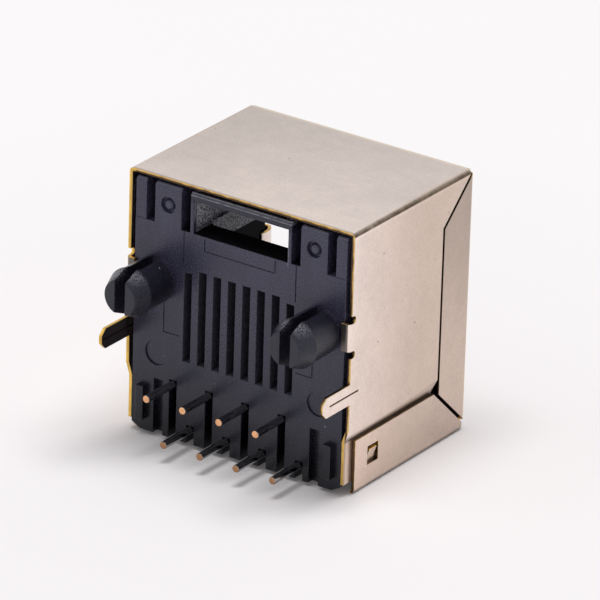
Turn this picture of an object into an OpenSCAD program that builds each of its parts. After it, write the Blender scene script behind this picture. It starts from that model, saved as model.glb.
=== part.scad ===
// Shielded vertical modular jack for through-hole boards.
// Units are millimetres. The board face is the plane y = 0, the pins and
// pegs point along -Y, the plug enters along -Y from the port at y = body_d.
// +Z is up, z = 0 is the outside of the shield's bottom panel, and the part
// is laid out about x = 0.

/* [Overall] */

// Width over the shield's side panels
body_w = 15.6; // [15.4:0.1:16.6]
// Height over the shield's bottom and top panels
body_h = 16.4; // [16.3:0.1:17.4]
// Depth from the board face to the outside of the port plate
body_d = 12.1; // [12:0.1:13]

/* [Shield sheet] */

// Thickness of the folded sheet
sheet_t = 0.22; // [0.18:0.01:0.24]
// Outside radius of every fold
bend_r = 0.3; // [0.28:0.01:0.4]
// Width of the seam round the ears
seam_gap = 0.18; // [0.1:0.01:0.2]
// Width of the mitred seams at the ends of an ear
mitre_gap = 0.2; // [0.14:0.01:0.26]
// Slope of the mitred seams
mitre_angle = 43; // [42:0.5:45]
// Width of the corner cut off a side panel at the foot of its ear
corner_w = 0.3; // [0.2:0.02:0.4]
// Height of that corner cut
corner_h = 0.7; // [0.5:0.05:0.9]
// Depth of the ears that fold back from the port plate
ear_reach = 2.87; // [2.5:0.01:3]
// Height of the flaps that fold up from the bottom panel
flap_h = 3.36; // [3.24:0.02:3.5]
// Distance of a flap's front edge from the board face
flap_y0 = 0.75; // [0.6:0.05:1]
// Distance of the bottom panel's front edge from the board face
panel_y0 = 2.2; // [1.5:0.1:3]
// Gap between a flap and the side panel tucked in behind it
lap_gap = 0.03; // [0.02:0.01:0.05]
// Height over which a side panel steps inwards above its flap
joggle_h = 0.75; // [0.6:0.05:1]
// Height of a side panel's lower edge
leg_z0 = 0.75; // [0.6:0.05:0.9]

/* [Shield latches] */

// Distance of a latch window's middle from the board face
barb_y = 2.56; // [2.3:0.02:3]
// Length of a latch window along the flap
barb_w = 1.08; // [0.8:0.02:1.3]
// Height of a latch window's lower edge
barb_z0 = 1.4; // [1.3:0.02:1.5]
// Height of a latch window
barb_h = 1.15; // [0.9:0.05:1.3]
// Clearance round a barb in its window
barb_gap = 0.08; // [0.05:0.01:0.12]

/* [Solder tabs] */

// Height of a tab's middle line
tab_z = 6.5; // [6:0.05:7]
// Width of a tab
tab_w = 1.26; // [1:0.02:1.6]
// Length of a tab past the board face
tab_len = 2.7; // [2.4:0.05:3.2]
// Length of a tab's pointed end
tab_point = 0.38; // [0.3:0.02:0.6]
// Width of a tab's blunt tip
tab_tip = 0.5; // [0.3:0.02:0.6]
// Width of the crease along a tab
crease_w = 0.14; // [0.1:0.01:0.2]
// Depth of the crease along a tab
crease_d = 0.1; // [0.05:0.01:0.12]
// Distance the crease runs on over the side panel
crease_run = 0.84; // [0.6:0.02:1]
// Distance of the crease's end from a tab's point
crease_stop = 0.3; // [0.2:0.02:0.4]

/* [Retention tongues] */

// Width of a tongue folded over the board face
tongue_w = 1.72; // [1.4:0.02:2]
// Distance a tongue reaches in from the side panel's outside
tongue_reach = 0.62; // [0.56:0.02:0.8]
// Width of the relief notch on each side of a tongue
relief_w = 0.44; // [0.36:0.02:0.5]
// Depth of a relief notch
relief_d = 0.38; // [0.34:0.02:0.5]

/* [Port] */

// Width of the plug cavity
plug_w = 11.86; // [11.8:0.02:12]
// Height of the plug cavity
plug_h = 7; // [6.8:0.05:7.1]
// Height of the plug cavity's floor
plug_z0 = 5.32; // [5.26:0.02:5.4]
// Width of the latch channel
latch_w = 6.2; // [6:0.05:6.3]
// Height of the latch channel above the plug cavity
latch_h = 1.4; // [1.3:0.02:1.45]
// Width of the latch tab's slot at the mouth
catch_w = 4; // [3.6:0.1:4.4]
// Height of the latch tab's slot above the plug cavity
catch_h = 2.4; // [2.2:0.05:2.6]
// Length of the catches behind the mouth
catch_len = 1.7; // [1.4:0.1:2]
// Distance the port plate stands back from the cavity's upper and lower edges
plate_lip = 0.12; // [0.08:0.02:0.2]
// Distance the port plate stands back from the cavity's sides
plate_side = 0.7; // [0.62:0.02:0.8]
// Widening of the cavity's mouth on each side
mouth_flare = 0.6; // [0.3:0.05:0.6]
// Depth of the widened mouth
mouth_len = 0.8; // [0.5:0.05:1]

/* [Ground fingers] */

// Width of a ground finger
finger_w = 0.9; // [0.7:0.05:1.4]
// Room beside a ground finger in the housing
finger_slit = 0.2; // [0.15:0.01:0.3]
// Height of a ground finger's middle above the cavity's floor
finger_rise = 3.28; // [2.4:0.02:4]
// Length of a ground finger along the cavity
finger_len = 1.4; // [1.3:0.02:1.44]
// Distance a ground finger bows into the cavity
finger_bow = 0.02; // [0:0.01:0.1]
// Radius of a ground finger's bow
finger_r = 1.12; // [1.1:0.01:1.2]
// Room behind a ground finger in the housing
finger_room = 0.15; // [0.1:0.01:0.18]

/* [Housing] */

// Play between the housing and the stepped legs of the side panels
side_play = 0.02; // [0.01:0.01:0.05]
// Gap between the housing and the top panel
top_gap = 0.2; // [0.12:0.02:0.3]
// Thickness of the wall on the board side
wall_d = 1.75; // [1.5:0.05:2]
// Size of the bevel on the board face's upper edge
bevel = 0.18; // [0.1:0.02:0.24]
// Width of the lower corner bevels
foot_bevel_x = 0.6; // [0.4:0.05:0.8]
// Height of the lower corner bevels
foot_bevel_z = 0.32; // [0.2:0.02:0.45]
// Room left inside the lower fold by the bevel on the housing's port edge
port_bevel = 0.06; // [0.04:0.01:0.1]

/* [Window and upper slots] */

// Height of the window's sill above the plug cavity
sill_rise = 1.12; // [1:0.02:1.2]
// Width of the window
window_w = 6.52; // [6.44:0.02:6.6]
// Height of the lintel above the window
lintel_h = 0.54; // [0.4:0.02:0.7]
// Width of each window post
post_w = 0.24; // [0.2:0.02:0.28]
// Width of the slots beside the window
inner_slot_w = 0.62; // [0.5:0.02:0.7]
// Width of the blocks between the slots
block_w = 1.86; // [1.7:0.02:1.9]
// Width of the outer slots
outer_slot_w = 0.58; // [0.5:0.02:0.6]
// Depth of the upper slots
slot_d = 3; // [2:0.1:4]
// Radius of a gate dimple
gate_r = 0.5; // [0.4:0.02:0.56]
// Depth of a gate dimple
gate_d = 0.24; // [0.15:0.01:0.3]

/* [Board face marks] */

// Radius of an ejector mark
ejector_r = 0.78; // [0.6:0.02:0.85]
// Depth of an ejector mark
ejector_d = 0.1; // [0.06:0.01:0.14]
// Distance of an ejector mark from the middle
ejector_x = 5.66; // [5.5:0.02:5.8]
// Height of the ejector marks' middle
ejector_z = 5.32; // [5.2:0.02:5.5]
// Width of the parting lines on the face
line_w = 0.08; // [0.06:0.01:0.1]
// Depth of the parting lines on the face
line_d = 0.05; // [0.03:0.01:0.08]
// Height of the upper parting line above the plug cavity
line_rise = 0.2; // [0.1:0.02:0.4]
// Height of the lower parting line above an ejector mark
line_lift = 0.68; // [0.5:0.02:0.9]
// Distance of the lower parting line's corner from a peg's middle
line_inset = 0.5; // [0.3:0.02:0.7]
// Space between a parting line and the edge it stops at
line_stop = 0.12; // [0.08:0.01:0.16]

/* [Feet and pockets] */

// Height of the standoff ribs off the board face
rib_h = 0.4; // [0.3:0.02:0.5]
// Width of a standoff rib
rib_w = 0.56; // [0.4:0.02:0.6]
// Distance of a rib's middle from the middle of the face
rib_x = 6.55; // [6.5:0.01:6.6]
// Height of a rib's lower end
rib_z0 = 1; // [0.9:0.02:1.2]
// Length of a rib
rib_len = 2.13; // [1.8:0.05:2.4]
// Width of the pockets beside the pins
pocket_w = 0.64; // [0.5:0.02:0.7]
// Distance of a pocket's middle from the middle of the face
pocket_x = 5.46; // [5.4:0.02:5.5]
// Depth of the pockets
pocket_d = 0.45; // [0.3:0.05:0.6]

/* [Pegs] */

// Distance between the two pegs
peg_span = 11.43; // [11.2:0.01:11.6]
// Height of the pegs above the upper pin row
peg_rise = 6.35; // [6.2:0.01:6.5]
// Radius of a peg
peg_r = 1.42; // [1.3:0.01:1.5]
// Length of a peg's slimmer root
peg_root = 0.35; // [0.28:0.01:0.4]
// Amount by which a peg's root is slimmer
peg_relief = 0.04; // [0.03:0.01:0.06]
// Radius of the snap lip on a peg
peg_lip_r = 1.5; // [1.5:0.01:1.58]
// Radius of a peg's flat tip
peg_tip_r = 1.07; // [0.9:0.01:1.2]
// Length of a peg off the board face
peg_len = 3.65; // [3.3:0.05:4]
// Length of the tapered end of a peg
peg_taper = 1.05; // [0.8:0.05:1.2]
// Length over which a peg swells to its snap lip
peg_lip = 0.5; // [0.3:0.02:0.6]
// Width of the slot that splits a peg
peg_slot = 0.7; // [0.5:0.02:0.8]

/* [Contacts] */

// Spacing of the contacts in the plug cavity
pitch = 1.016; // [1:0.002:1.03]
// Sideways spacing of the pins
pin_pitch = 1.27; // [1.25:0.005:1.28]
// Distance between the two pin rows
row_gap = 2.54; // [2.5:0.01:2.58]
// Height of the lower pin row
row_z = 1.13; // [1.1:0.01:1.2]
// Diameter of the contact wire
wire_d = 0.46; // [0.4:0.01:0.48]
// Length of the pins past the board face
pin_len = 2.66; // [2.2:0.02:3.2]
// Length of the pointed pin tips
pin_tip = 0.1; // [0.06:0.01:0.16]
// Inside play on each side of a wire in its groove
wire_play = 0.02; // [0.02:0.005:0.04]
// Middle-line radius of every bend in a wire
wire_bend = 0.55; // [0.5:0.01:0.6]
// Slope of the contact springs
spring_angle = 26.5; // [25:0.5:28]
// Distance of the springs' free ends from the board face
spring_end = 0.95; // [0.9:0.05:1.2]
// Distance of a wire's turn from the outside of the port plate
turn_back = 1.9; // [1.7:0.05:2.1]
// Distance from the board face to the start of a wire's sideways jog
jog_y0 = 0.9; // [0.8:0.05:1.2]
// Slope of the sideways jog
jog_angle = 12.5; // [12:0.5:15]
// Slope of the rise that brings a lower wire up to the upper row
rise_angle = 60; // [50:1:65]
// Straight length of a lower wire between its rise and its turn
rise_back = 0.4; // [0.3:0.05:0.6]
// Room past a wire's bends in its groove
groove_room = 0.15; // [0.1:0.01:0.2]
// Height of the comb slots for the springs
comb_h = 5.84; // [5.6:0.02:5.9]
// Amount by which the two end comb slots are shorter
comb_step = 0.27; // [0.2:0.01:0.3]

/* [Hidden] */

$fn = 48;
eps = 1;

half_w = body_w / 2;
bend_in = bend_r - sheet_t;
fold_x = half_w - bend_r;
fold_y = body_d - bend_r;
fold_z = body_h - bend_r;

// Shield side layout, seen along X
ear_y0 = body_d - ear_reach;
mitre_slope = tan(mitre_angle);
mitre_rise = mitre_gap / cos(mitre_angle);
hood_z1 = body_h - ear_reach + bend_r;
ear_z1 = hood_z1 - mitre_rise;
ear_z0 = ear_reach + bend_r;
joggle_z0 = flap_h + seam_gap / 2;
joggle_z1 = joggle_z0 + joggle_h;
joggle = sheet_t + lap_gap;
leg_x = half_w - joggle;

// Pin rows and pegs
row2_z = row_z + row_gap;
peg_z = row2_z + peg_rise;
wire_r = wire_d / 2;
groove_w = wire_d + 2 * wire_play;

// Housing box
house_x = leg_x - sheet_t - side_play;
house_z0 = sheet_t;
house_z1 = body_h - sheet_t - top_gap;
house_y1 = body_d - sheet_t;
plug_z1 = plug_z0 + plug_h;
latch_z1 = plug_z1 + latch_h;
sill_z = plug_z1 + sill_rise;
window_z1 = house_z1 - lintel_h;
catch_z1 = min(plug_z1 + catch_h, window_z1);
gate_z = (sill_z + house_z1) / 2;
slot1_x = window_w / 2 + post_w;
block_x = slot1_x + inner_slot_w;
slot2_x = block_x + block_w;

// Wire course, seen along X: the turn at the mouth and the sloping spring
turn_y = body_d - turn_back;
turn_angle = 180 - spring_angle;
turn_end_y = turn_y + wire_bend * sin(spring_angle);
turn_end_z = row2_z + wire_bend + wire_bend * cos(spring_angle);
spring_len = (turn_end_y - spring_end) / cos(spring_angle);
rise_len = (row_gap - 2 * wire_bend * (1 - cos(rise_angle))) / sin(rise_angle);
rise_run = 2 * wire_bend * sin(rise_angle) + rise_len * cos(rise_angle);
rise_y1 = turn_y - rise_back;
rise_y0 = rise_y1 - rise_run;
notch_rise = plug_z0 + wire_r / cos(spring_angle) - turn_end_z;
notch_y0 = turn_end_y - notch_rise / tan(spring_angle) - groove_room;
notch_y1 = turn_y + wire_bend + wire_r + groove_room;

function contact_x(i) = (i - 4.5) * pitch;
function pin_x(i) = (i - 4.5) * pin_pitch;
function is_upper(i) = i % 2 == 1;
function pin_z(i) = is_upper(i) ? row2_z : row_z;
function jog_shift(i) = abs(pin_x(i) - contact_x(i));
function jog_len(i) = (jog_shift(i) - 2 * wire_bend * (1 - cos(jog_angle))) / sin(jog_angle);
function jog_run(i) = 2 * wire_bend * sin(jog_angle) + jog_len(i) * cos(jog_angle);

// Sketches in the XZ, YZ and XY planes swept along the third axis
module along_y(y0, y1) {
  translate([0, y1, 0])
    rotate([90, 0, 0])
      linear_extrude(height = y1 - y0)
        children();
}

module along_x(x0, x1) {
  translate([x0, 0, 0])
    rotate([90, 0, 90])
      linear_extrude(height = x1 - x0)
        children();
}

module along_z(z0, z1) {
  translate([0, 0, z0])
    linear_extrude(height = z1 - z0)
      children();
}

module box(x0, x1, y0, y1, z0, z1) {
  translate([x0, y0, z0])
    cube([x1 - x0, y1 - y0, z1 - z0]);
}

module both_sides() {
  children();
  mirror([1, 0, 0])
    children();
}

// Quarter of a fold: sheet turning from the direction +Y to -X about the origin
module fold_sketch() {
  intersection() {
    difference() {
      circle(r = bend_r);
      circle(r = bend_in);
    }
    square([bend_r + eps, bend_r + eps]);
  }
}

// Top panel with the two side panels folded down from it, and their stepped legs
module hood_sketch() {
  translate([-fold_x, fold_z + bend_in])
    square([2 * fold_x, sheet_t]);
  both_sides() {
    translate([fold_x, fold_z])
      fold_sketch();
    polygon([
      [half_w - sheet_t, fold_z],
      [half_w, fold_z],
      [half_w, joggle_z1],
      [leg_x, joggle_z0],
      [leg_x, leg_z0],
      [leg_x - sheet_t, leg_z0],
      [leg_x - sheet_t, joggle_z0],
      [half_w - sheet_t, joggle_z1]
    ]);
  }
}

// Cut in a side panel that makes room for the ear and its mitre
module ear_notch() {
  y0 = ear_y0 - seam_gap;
  y1 = body_d + eps;
  along_x(leg_x - sheet_t - eps / 10, half_w + eps)
    polygon([
      [y0 - corner_w, -eps],
      [y0 - corner_w, joggle_z0],
      [y0, joggle_z0 + corner_h],
      [y0, hood_z1 - seam_gap * mitre_slope],
      [y1, hood_z1 + (y1 - ear_y0) * mitre_slope],
      [y1, -eps]
    ]);
}

// Rounded relief notch in a side panel's front edge
module relief(z0) {
  along_x(leg_x - sheet_t - eps, half_w + eps) {
    translate([-eps, z0])
      square([relief_d - relief_w / 2 + eps, relief_w]);
    translate([relief_d - relief_w / 2, z0 + relief_w / 2])
      circle(r = relief_w / 2);
  }
}

module tongue_cut() {
  relief(peg_z + tongue_w / 2);
  relief(peg_z - tongue_w / 2 - relief_w);
  box(fold_x, half_w + eps, -eps, bend_in, peg_z - tongue_w / 2 - eps / 10, peg_z + tongue_w / 2 + eps / 10);
}

// Tongue folded inwards over the board face
module tongue() {
  along_z(peg_z - tongue_w / 2, peg_z + tongue_w / 2) {
    translate([fold_x, bend_in])
      mirror([0, 1])
        fold_sketch();
    translate([half_w - tongue_reach, -sheet_t])
      square([tongue_reach - bend_r, sheet_t]);
  }
}

// Solder tab with a pointed end and a crease along it
module tab() {
  z0 = tab_z - tab_w / 2;
  z1 = tab_z + tab_w / 2;
  difference() {
    along_x(half_w - sheet_t, half_w)
      polygon([
        [0, z0],
        [0, z1],
        [tab_point - tab_len, z1],
        [-tab_len, tab_z + tab_tip / 2],
        [-tab_len, tab_z - tab_tip / 2],
        [tab_point - tab_len, z0]
      ]);
    along_y(tab_point + crease_stop - tab_len, eps)
      crease_sketch();
  }
}

module crease_sketch() {
  polygon([
    [half_w - crease_d, tab_z],
    [half_w + crease_d, tab_z - crease_w],
    [half_w + crease_d, tab_z + crease_w]
  ]);
}

// Window lanced in a leg and the barb that stands out through the flap
module barb_hole() {
  box(leg_x - sheet_t - eps, leg_x + eps / 10, barb_y - barb_w / 2 + barb_gap, barb_y + barb_w / 2 - barb_gap,
      barb_z0 + barb_gap, barb_z0 + barb_h);
}

module barb() {
  along_y(barb_y - barb_w / 2 + 2 * barb_gap, barb_y + barb_w / 2 - 2 * barb_gap)
    polygon([
      [leg_x - sheet_t, barb_z0 + barb_gap],
      [leg_x, barb_z0 + barb_gap],
      [half_w, barb_z0 + barb_h * 0.78],
      [half_w - sheet_t * 0.9, barb_z0 + barb_h * 0.82]
    ]);
}

// Top-to-port fold, port plate, bottom fold and bottom panel
module wrap_sketch() {
  translate([fold_y, fold_z])
    fold_sketch();
  translate([body_d - sheet_t, bend_r])
    square([sheet_t, fold_z - bend_r]);
  translate([fold_y, bend_r])
    mirror([0, 1])
      fold_sketch();
  translate([panel_y0, 0])
    square([fold_y - panel_y0, sheet_t]);
}

// Ear folded back from the port plate, mitred at both ends
module ear() {
  intersection() {
    along_z(bend_r, fold_z) {
      translate([fold_x, fold_y])
        fold_sketch();
      translate([half_w - sheet_t, ear_y0])
        square([sheet_t, ear_reach - bend_r]);
    }
    along_x(fold_x - eps, half_w + eps)
      polygon([
        [ear_y0, ear_z0],
        [ear_y0, ear_z1],
        [body_d, ear_z1 + ear_reach * mitre_slope],
        [body_d, ear_z0 - ear_reach * mitre_slope]
      ]);
  }
}

// Flap folded up from the bottom panel beside a leg, with its latch window
module flap() {
  y_foot = ear_y0 + (ear_z0 - mitre_rise) / mitre_slope;
  difference() {
    intersection() {
      along_y(flap_y0, fold_y) {
        translate([fold_x, bend_r])
          mirror([0, 1])
            fold_sketch();
        translate([half_w - sheet_t, bend_r])
          square([sheet_t, flap_h - bend_r]);
      }
      along_x(fold_x - eps, half_w + eps)
        polygon([
          [flap_y0, 0],
          [flap_y0, flap_h],
          [y_foot - flap_h / mitre_slope, flap_h],
          [y_foot, 0]
        ]);
    }
    box(half_w - sheet_t - eps / 10, half_w + eps, barb_y - barb_w / 2, barb_y + barb_w / 2,
        barb_z0, barb_z0 + barb_h);
  }
}

// Opening for the plug and its latch
module port_sketch() {
  translate([-plug_w / 2, plug_z0 - plate_lip])
    square([plug_w, plug_h + 2 * plate_lip]);
  translate([-latch_w / 2 - plate_lip, plug_z1 - eps])
    square([latch_w + 2 * plate_lip, eps + latch_h + plate_lip]);
  translate([-catch_w / 2 - plate_lip, plug_z1 - eps])
    square([catch_w + 2 * plate_lip, catch_z1 - plug_z1 + eps + plate_lip]);
}

// Ground fingers: strips that curl in from the port plate at the cavity's sides
finger_mid_y = body_d - finger_len / 2 - sheet_t;
finger_z = plug_z0 + finger_rise;
finger_x = plug_w / 2 - finger_bow + finger_r;
finger_out = finger_r + sheet_t / 2;
finger_in = finger_r - sheet_t / 2;
finger_y0 = body_d - finger_len;
function finger_back(y) = finger_x - sqrt(pow(finger_in, 2) - pow(y - finger_mid_y, 2));

module finger_sketch() {
  intersection() {
    translate([finger_x, finger_mid_y])
      difference() {
        circle(r = finger_out);
        circle(r = finger_in);
      }
    translate([0, finger_y0])
      square([finger_x, finger_len]);
  }
}

module plate_side_cut(x1, z0, z1) {
  box(plug_w / 2 - eps, x1, body_d - sheet_t - eps, body_d + eps, z0, z1);
}

module plate_sides() {
  x1 = plug_w / 2 + plate_side;
  plate_side_cut(x1, plug_z0 - plate_lip, finger_z - finger_w / 2);
  plate_side_cut(x1, finger_z + finger_w / 2, plug_z1 + plate_lip);
  plate_side_cut(finger_back(body_d - sheet_t), finger_z - finger_w, finger_z + finger_w);
}

module shield() {
  color([0.80, 0.77, 0.75]) {
    difference() {
      along_y(0, fold_y)
        hood_sketch();
      both_sides() {
        ear_notch();
        tongue_cut();
        barb_hole();
        along_y(-eps, crease_run)
          crease_sketch();
      }
    }
    difference() {
      along_x(-fold_x, fold_x)
        wrap_sketch();
      along_y(body_d - sheet_t - eps / 10, body_d + eps)
        port_sketch();
      both_sides()
        plate_sides();
    }
    both_sides() {
      ear();
      flap();
      tongue();
      tab();
      barb();
      along_z(finger_z - finger_w / 2, finger_z + finger_w / 2)
        finger_sketch();
    }
  }
}

// Outside of the housing with bevelled lower corners
module house_sketch() {
  polygon([
    [-house_x + foot_bevel_x, house_z0],
    [house_x - foot_bevel_x, house_z0],
    [house_x, house_z0 + foot_bevel_z],
    [house_x, house_z1],
    [-house_x, house_z1],
    [-house_x, house_z0 + foot_bevel_z]
  ]);
}

// Bevels on the board face's upper edge and on the port edge inside the lower fold
module edge_bevels() {
  low = bend_in + port_bevel;
  polygon([
    [-eps, house_z1 - bevel - eps],
    [-eps, house_z1 + eps],
    [bevel + eps, house_z1 + eps]
  ]);
  polygon([
    [house_y1 + eps, house_z0 + low + eps],
    [house_y1 + eps, house_z0 - eps],
    [house_y1 - low - eps, house_z0 - eps]
  ]);
}

// Split snap peg turned about its own axis
module peg() {
  translate([peg_span / 2, 0, peg_z])
    rotate([90, 0, 0])
      difference() {
        rotate_extrude()
          polygon([
            [0, -eps],
            [peg_r - peg_relief, -eps],
            [peg_r - peg_relief, 0],
            [peg_r, peg_root],
            [peg_r, peg_len - peg_taper - peg_lip],
            [peg_lip_r, peg_len - peg_taper],
            [peg_tip_r, peg_len],
            [0, peg_len]
          ]);
        translate([-peg_slot / 2, -peg_lip_r - eps, 0])
          cube([peg_slot, 2 * peg_lip_r + 2 * eps, peg_len + eps]);
      }
}

// Plug cavity, latch channel and the catches at its mouth
module plug_space() {
  box(-plug_w / 2, plug_w / 2, wall_d, house_y1 + eps, plug_z0, plug_z1);
  box(-latch_w / 2, latch_w / 2, wall_d, house_y1 - catch_len, plug_z1 - eps, latch_z1);
  box(-latch_w / 2, latch_w / 2, wall_d, house_y1 + eps, plug_z1 - eps, plug_z1 + latch_h / 2);
  box(-catch_w / 2, catch_w / 2, wall_d, house_y1 + eps, plug_z1 - eps, catch_z1);
  box(-window_w / 2, window_w / 2, wall_d, house_y1 - catch_len - eps, latch_z1, window_z1);
  both_sides()
    box(plug_w / 2 - eps, finger_back(finger_y0) + finger_room, finger_y0 - finger_room, house_y1 + eps,
        finger_z - finger_w / 2 - finger_slit, finger_z + finger_w / 2 + finger_slit);
  both_sides()
    along_z(plug_z0, plug_z1)
      polygon([
        [plug_w / 2 - eps, house_y1 - mouth_len],
        [plug_w / 2, house_y1 - mouth_len],
        [plug_w / 2 + mouth_flare, house_y1],
        [plug_w / 2 + mouth_flare, house_y1 + eps],
        [plug_w / 2 - eps, house_y1 + eps]
      ]);
}

// Window, upper slots and gate dimples in the board face
module face_openings() {
  box(-window_w / 2, window_w / 2, -eps, wall_d + eps / 20, sill_z, window_z1);
  both_sides() {
    box(slot1_x, block_x, -eps, slot_d, sill_z, house_z1 + eps);
    box(slot2_x, slot2_x + outer_slot_w, -eps, slot_d, sill_z, house_z1 + eps);
    translate([(block_x + slot2_x) / 2, 0, gate_z])
      rotate([90, 0, 0])
        difference() {
          cylinder(r = gate_r, h = 2 * gate_d, center = true);
          translate([0, 0, -gate_d])
            cylinder(r1 = gate_r * 0.74, r2 = gate_r * 0.46, h = gate_d * 0.85);
        }
  }
}

// Comb of slots that guide the springs' free ends
module comb() {
  for (i = [1:8]) {
    top = plug_z0 + comb_h - (i == 1 || i == 8 ? comb_step : 0);
    box(contact_x(i) - groove_w / 2, contact_x(i) + groove_w / 2, -eps, wall_d + eps, plug_z0, top);
  }
}

// Groove that takes one wire from below, from the board face to the mouth
module groove(i) {
  h = groove_w / 2;
  px = pin_x(i);
  cx = contact_x(i);
  corner = wire_bend * tan(jog_angle / 2);
  y1 = jog_y0 + corner;
  y2 = jog_y0 + jog_run(i) - corner;
  y3 = is_upper(i) ? notch_y1 : rise_y0 + groove_room;
  along_z(house_z0 - eps, pin_z(i) + wire_r)
    polygon([
      [px - h, -eps],
      [px - h, y1],
      [cx - h, y2],
      [cx - h, y3],
      [cx + h, y3],
      [cx + h, y2],
      [px + h, y1],
      [px + h, -eps]
    ]);
  if (!is_upper(i))
    box(cx - h, cx + h, rise_y0 - groove_room, notch_y1, house_z0 - eps, row2_z + wire_r);
  box(cx - h, cx + h, notch_y0, notch_y1, row_z, plug_z0 + eps);
}

// Shallow parting lines and ejector marks on the board face
module face_line(x0, x1, z0, z1) {
  box(x0, x1, -eps, line_d, z0, z1);
}

module face_marks() {
  u_x = latch_w * 0.4;
  u_z = plug_z1 + line_rise;
  v_x = contact_x(8) + groove_w / 2 + line_w / 2;
  w_x = peg_span / 2 - line_inset;
  w_z = ejector_z + ejector_r + line_lift;
  face_line(-u_x, u_x, u_z, u_z + line_w);
  both_sides() {
    face_line(u_x - line_w, u_x, u_z, sill_z - line_stop);
    face_line(v_x, v_x + line_w, plug_z0 + comb_h, sill_z);
    face_line(w_x - line_w, w_x, w_z, peg_z - peg_r);
    face_line(v_x + line_w + line_stop, w_x, w_z, w_z + line_w);
    face_line(slot2_x + outer_slot_w - line_w, house_x + eps, sill_z, sill_z + line_w);
    translate([ejector_x, 0, ejector_z])
      rotate([90, 0, 0])
        cylinder(r = ejector_r, h = 2 * ejector_d, center = true);
  }
}

module pockets() {
  both_sides()
    box(pocket_x - pocket_w / 2, pocket_x + pocket_w / 2, -eps, pocket_d, house_z0 - eps, row2_z);
}

module housing() {
  color([0.05, 0.05, 0.06])
    union() {
      difference() {
        along_y(0, house_y1)
          house_sketch();
        face_openings();
        comb();
        face_marks();
        pockets();
        plug_space();
        for (i = [1:8])
          groove(i);
        along_x(-house_x - eps, house_x + eps)
          edge_bevels();
      }
      both_sides() {
        peg();
        box(rib_x - rib_w / 2, rib_x + rib_w / 2, -rib_h, 0, rib_z0, rib_z0 + rib_len);
      }
    }
}

// Bent wire: each step is [straight length, bend angle, turn of the bend plane]
module wire_run(steps, i = 0) {
  if (i < len(steps)) {
    run = steps[i][0];
    bend = steps[i][1];
    turn = steps[i][2];
    cylinder(r = wire_r, h = run);
    translate([0, 0, run])
      rotate([0, 0, turn]) {
        if (bend > 0)
          translate([wire_bend, 0, 0])
            rotate([90, 0, 0])
              rotate([0, 0, 180 - bend])
                rotate_extrude(angle = bend)
                  translate([wire_bend, 0])
                    circle(r = wire_r);
        translate([wire_bend * (1 - cos(bend)), 0, wire_bend * sin(bend)])
          rotate([0, bend, 0])
            rotate([0, 0, -turn])
              wire_run(steps, i + 1);
      }
  }
}

// One contact: board pin, sideways jog, turn at the mouth and sloping spring
module contact(i) {
  side = pin_x(i) < 0 ? 0 : 180;
  back = side + 180;
  up = -90;
  start = pin_len - pin_tip + jog_y0;
  after = jog_y0 + jog_run(i);
  jog = [[start, jog_angle, side], [jog_len(i), jog_angle, back]];
  flat = [[turn_y - after, turn_angle, up]];
  rise = [[rise_y0 - after, rise_angle, up], [rise_len, rise_angle, up + 180],
          [turn_y - rise_y1, turn_angle, up]];
  spring = [[spring_len, 0, 0]];
  color([0.83, 0.62, 0.30])
    translate([pin_x(i), -pin_len, pin_z(i)])
      rotate([-90, 0, 0]) {
        cylinder(r1 = wire_r * 0.6, r2 = wire_r, h = pin_tip);
        translate([0, 0, pin_tip])
          wire_run(concat(jog, is_upper(i) ? flat : rise, spring));
      }
}

module contact_1() {
  contact(1);
}

module contact_2() {
  contact(2);
}

module contact_3() {
  contact(3);
}

module contact_4() {
  contact(4);
}

module contact_5() {
  contact(5);
}

module contact_6() {
  contact(6);
}

module contact_7() {
  contact(7);
}

module contact_8() {
  contact(8);
}

shield();
housing();
contact_1();
contact_2();
contact_3();
contact_4();
contact_5();
contact_6();
contact_7();
contact_8();
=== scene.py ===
"""Looks of a shielded vertical modular jack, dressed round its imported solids."""

import math

import bmesh
import bpy
from bpy.props import FloatProperty, FloatVectorProperty, IntProperty, PointerProperty
from mathutils import Matrix, Quaternion, Vector
from mathutils.bvhtree import BVHTree


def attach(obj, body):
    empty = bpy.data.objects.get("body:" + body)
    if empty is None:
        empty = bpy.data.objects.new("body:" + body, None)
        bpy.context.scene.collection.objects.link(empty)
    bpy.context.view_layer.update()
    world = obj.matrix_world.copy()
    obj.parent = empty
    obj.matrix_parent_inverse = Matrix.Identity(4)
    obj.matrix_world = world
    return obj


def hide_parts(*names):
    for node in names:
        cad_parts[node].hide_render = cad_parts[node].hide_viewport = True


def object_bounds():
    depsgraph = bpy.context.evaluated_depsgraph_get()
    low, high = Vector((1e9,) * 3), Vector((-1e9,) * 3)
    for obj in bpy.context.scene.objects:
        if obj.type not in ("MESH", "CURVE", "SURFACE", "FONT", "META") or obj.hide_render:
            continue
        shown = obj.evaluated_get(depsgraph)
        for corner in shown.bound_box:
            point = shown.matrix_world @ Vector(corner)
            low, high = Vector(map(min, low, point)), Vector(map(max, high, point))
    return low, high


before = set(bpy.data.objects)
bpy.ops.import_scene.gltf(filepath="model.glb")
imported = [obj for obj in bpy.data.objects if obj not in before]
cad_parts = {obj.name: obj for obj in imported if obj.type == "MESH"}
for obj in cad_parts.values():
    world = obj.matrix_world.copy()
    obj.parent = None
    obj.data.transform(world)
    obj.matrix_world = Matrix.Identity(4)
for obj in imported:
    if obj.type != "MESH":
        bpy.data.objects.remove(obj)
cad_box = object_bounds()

bl_info = {
    "name": "Shielded Modular Jack",
    "version": (1, 0, 0),
    "blender": (4, 5, 0),
    "location": "3D View > Sidebar > Jack",
    "description": "Dresses a shielded vertical modular jack round its packed solids",
    "category": "Object",
}

# Pieces are shaped in millimetres and brought to metres when they are done
MM = 0.001
BODY = "root"
CONTACTS = 8
TO_RIGHT, TO_PORT, UP = Vector((1, 0, 0)), Vector((0, 1, 0)), Vector((0, 0, 1))

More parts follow.
